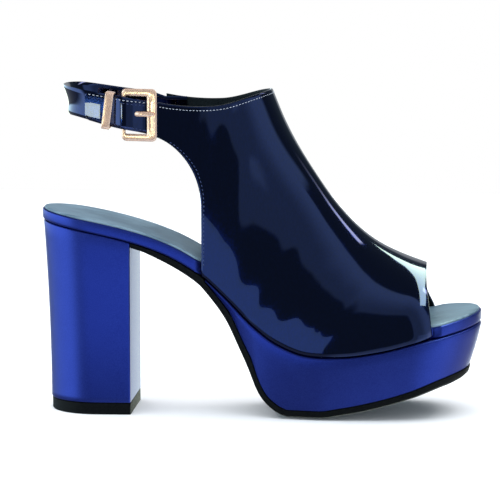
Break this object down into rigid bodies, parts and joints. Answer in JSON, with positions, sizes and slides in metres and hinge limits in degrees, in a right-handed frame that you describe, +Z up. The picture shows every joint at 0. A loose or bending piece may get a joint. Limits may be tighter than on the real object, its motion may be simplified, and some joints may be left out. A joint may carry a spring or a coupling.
{
  "type": "peep toe platform pump",
  "caption": "Right peep toe platform pump with a high vamp, an open back with a buckled sling strap, and a tall block heel.",
  "frame": {"origin": "middle of the bounding box's bottom, on the floor", "axes": "+X from the heel to the toe, +Y to the inner (medial) side of a right shoe, +Z up; the shoe stands on its sole and the buckle is on the -Y side"},
  "size_m": [0.2246, 0.084, 0.1668],
  "materials": {
    "patent_navy": "patent, high gloss",
    "metallic_blue": "satin metallic wrap",
    "sock_grey": "soft sheen lining",
    "black_rubber": "matt",
    "rose_gold": "polished rose gold plating"
  },
  "bodies": {
    "root": {"upper": "patent_navy", "sling_strap": "patent_navy", "buckle_frame": "rose_gold", "buckle_prong": "rose_gold", "strap_keeper": "rose_gold", "insole_board": "metallic_blue", "insole_sock": "sock_grey", "platform": "metallic_blue", "outsole": "black_rubber", "heel": "metallic_blue", "top_piece": "black_rubber"}
  },
  "joints": []
}
